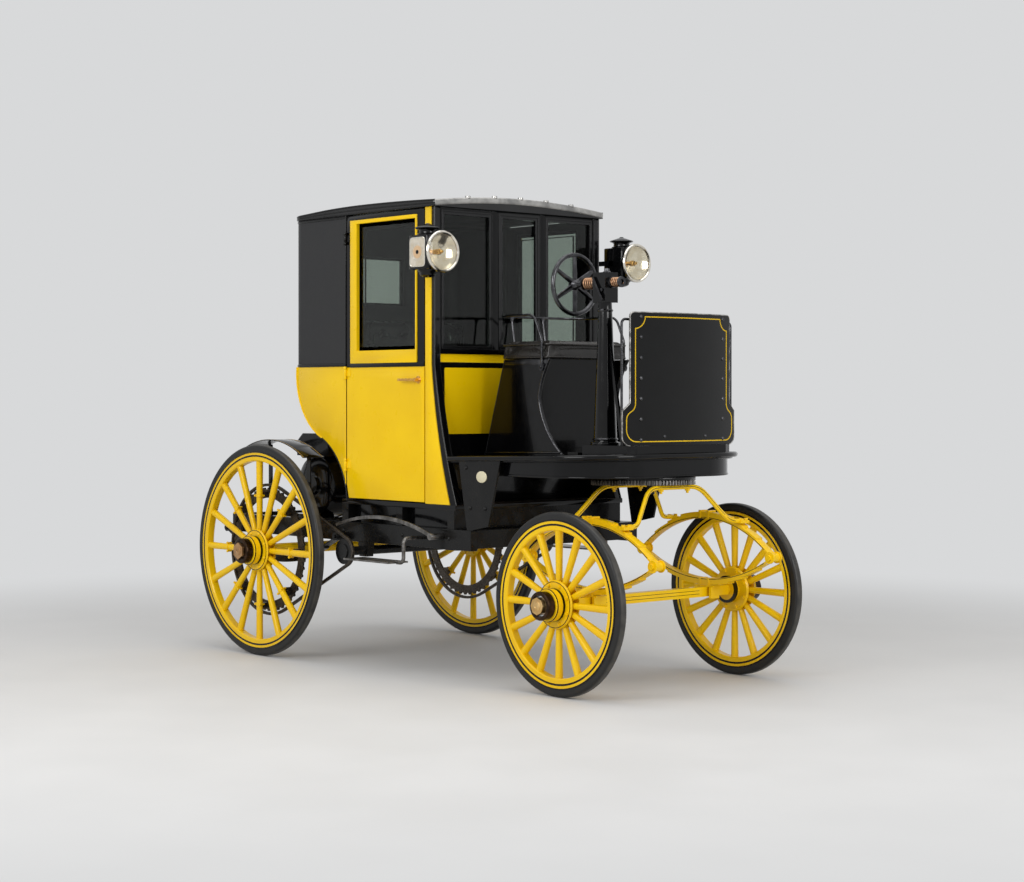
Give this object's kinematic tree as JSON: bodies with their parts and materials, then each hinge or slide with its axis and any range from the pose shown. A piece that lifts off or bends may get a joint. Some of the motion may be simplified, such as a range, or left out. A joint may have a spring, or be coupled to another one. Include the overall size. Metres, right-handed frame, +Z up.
{
  "type": "horseless taxi cab",
  "caption": "Battery-electric carriage cab: closed two-seat body, driver's platform with dash and column, spoked wheels, turntable steering, opening doors.",
  "frame": {"origin": "on the ground, half-way between the foremost and rearmost points, on the centre line", "axes": "+X ahead, +Y to the vehicle's left, +Z up"},
  "size_m": [3.06, 1.702, 2.2892],
  "materials": {
    "yellow_painted_wood": "gloss coach enamel on ash, oak and elm",
    "yellow_painted_iron": "gloss coach enamel on forged iron",
    "yellow_coach_panel": "gloss coach enamel over panel boards, black mouldings",
    "solid_rubber": "matt solid rubber",
    "bronze_axle_cap": "dull bronze nut in a black collar",
    "black_painted_iron": "gloss black enamel on iron",
    "chain_steel": "oiled block chain",
    "polished_steel": "black enamelled and polished steel",
    "black_leather": "black enamelled leather",
    "black_roof_canvas": "black painted roof canvas",
    "oak_boards": "dark varnished boards",
    "window_glass": "clear plate glass"
  },
  "bodies": {
    "cab": {"battery_box": "black_painted_iron", "brake_lever": "black_painted_iron", "cab_floor": "oak_boards", "countershaft": "black_painted_iron", "cross_members": "black_painted_iron", "dash": "black_leather", "dash_irons": "black_painted_iron", "door_hinges": "black_painted_iron", "drive_chains": "chain_steel", "driver_cushion": "black_leather", "driver_platform": "black_painted_iron", "driver_seat_box": "black_leather", "driver_seat_rail": "black_painted_iron", "front_bulkhead": "yellow_coach_panel", "front_glass": "window_glass", "front_pillars": "yellow_coach_panel", "hanger_plates": "black_painted_iron", "left_lamp": "black_painted_iron", "lower_body": "yellow_coach_panel", "motor": "black_painted_iron", "passenger_seat_back": "black_leather", "passenger_seat_base": "oak_boards", "passenger_seat_cushion": "black_leather", "rear_axle": "black_painted_iron", "rear_mudguards": "black_painted_iron", "rear_springs": "yellow_painted_iron", "right_lamp": "black_painted_iron", "roof": "black_roof_canvas", "side_rails": "black_painted_iron", "steering_column": "polished_steel", "steps": "black_painted_iron", "turntable_plate": "black_painted_iron", "upper_body": "black_leather", "valance": "black_painted_iron"},
    "left_door": {"left_door": "yellow_coach_panel", "left_door_glass": "window_glass"},
    "right_door": {"right_door": "yellow_coach_panel", "right_door_glass": "window_glass"},
    "fore_carriage": {"turntable_gear": "black_painted_iron", "fore_irons": "yellow_painted_iron", "front_springs": "yellow_painted_iron", "front_axle": "yellow_painted_iron"},
    "front_left_wheel": {"front_left_wheel": "yellow_painted_wood", "front_left_tyre": "solid_rubber", "front_left_axle_cap": "bronze_axle_cap"},
    "front_right_wheel": {"front_right_wheel": "yellow_painted_wood", "front_right_tyre": "solid_rubber", "front_right_axle_cap": "bronze_axle_cap"},
    "rear_left_wheel": {"rear_left_wheel": "yellow_painted_wood", "rear_left_tyre": "solid_rubber", "rear_left_axle_cap": "bronze_axle_cap", "left_chain_ring": "black_painted_iron"},
    "rear_right_wheel": {"rear_right_wheel": "yellow_painted_wood", "rear_right_tyre": "solid_rubber", "rear_right_axle_cap": "bronze_axle_cap", "right_chain_ring": "black_painted_iron"},
    "handwheel": {"steering_handwheel": "polished_steel"},
    "pinion": {"steering_pinion": "black_painted_iron"}
  },
  "joints": [
    {"name": "left_door_hinge", "type": "hinge", "parent": "cab", "child": "left_door", "pos_m": [-0.4895, 0.549, 1.4], "axis": [0, 0, 1], "range_deg": [0, 80]},
    {"name": "right_door_hinge", "type": "hinge", "parent": "cab", "child": "right_door", "pos_m": [-0.4895, -0.549, 1.4], "axis": [0, 0, -1], "range_deg": [0, 80]},
    {"name": "steer", "type": "hinge", "parent": "cab", "child": "fore_carriage", "pos_m": [1.094, 0, 0.9], "axis": [0, 0, 1], "range_deg": [-30, 30]},
    {"name": "handwheel_turn", "type": "hinge", "parent": "cab", "child": "handwheel", "pos_m": [0.865, -0.25838, 1.825], "axis": [1, 0, 0], "range_deg": [-101, 101]},
    {"name": "pinion_turn", "type": "hinge", "parent": "cab", "child": "pinion", "pos_m": [1.065, -0.25838, 0.93], "axis": [0, 0, 1], "range_deg": [-101, 101]},
    {"name": "front_left_wheel_spin", "type": "hinge", "parent": "fore_carriage", "child": "front_left_wheel", "pos_m": [1.094, 0.566, 0.4056], "axis": [0, 1, 0], "continuous": true},
    {"name": "front_right_wheel_spin", "type": "hinge", "parent": "fore_carriage", "child": "front_right_wheel", "pos_m": [1.094, -0.566, 0.4056], "axis": [0, 1, 0], "continuous": true},
    {"name": "rear_left_wheel_spin", "type": "hinge", "parent": "cab", "child": "rear_left_wheel", "pos_m": [-0.995, 0.713, 0.535], "axis": [0, 1, 0], "continuous": true},
    {"name": "rear_right_wheel_spin", "type": "hinge", "parent": "cab", "child": "rear_right_wheel", "pos_m": [-0.995, -0.713, 0.535], "axis": [0, 1, 0], "continuous": true}
  ],
  "couplings": [
    {"joint": "handwheel_turn", "follows": "steer", "ratio": -3.3333},
    {"joint": "pinion_turn", "follows": "steer", "ratio": -3.3333}
  ]
}
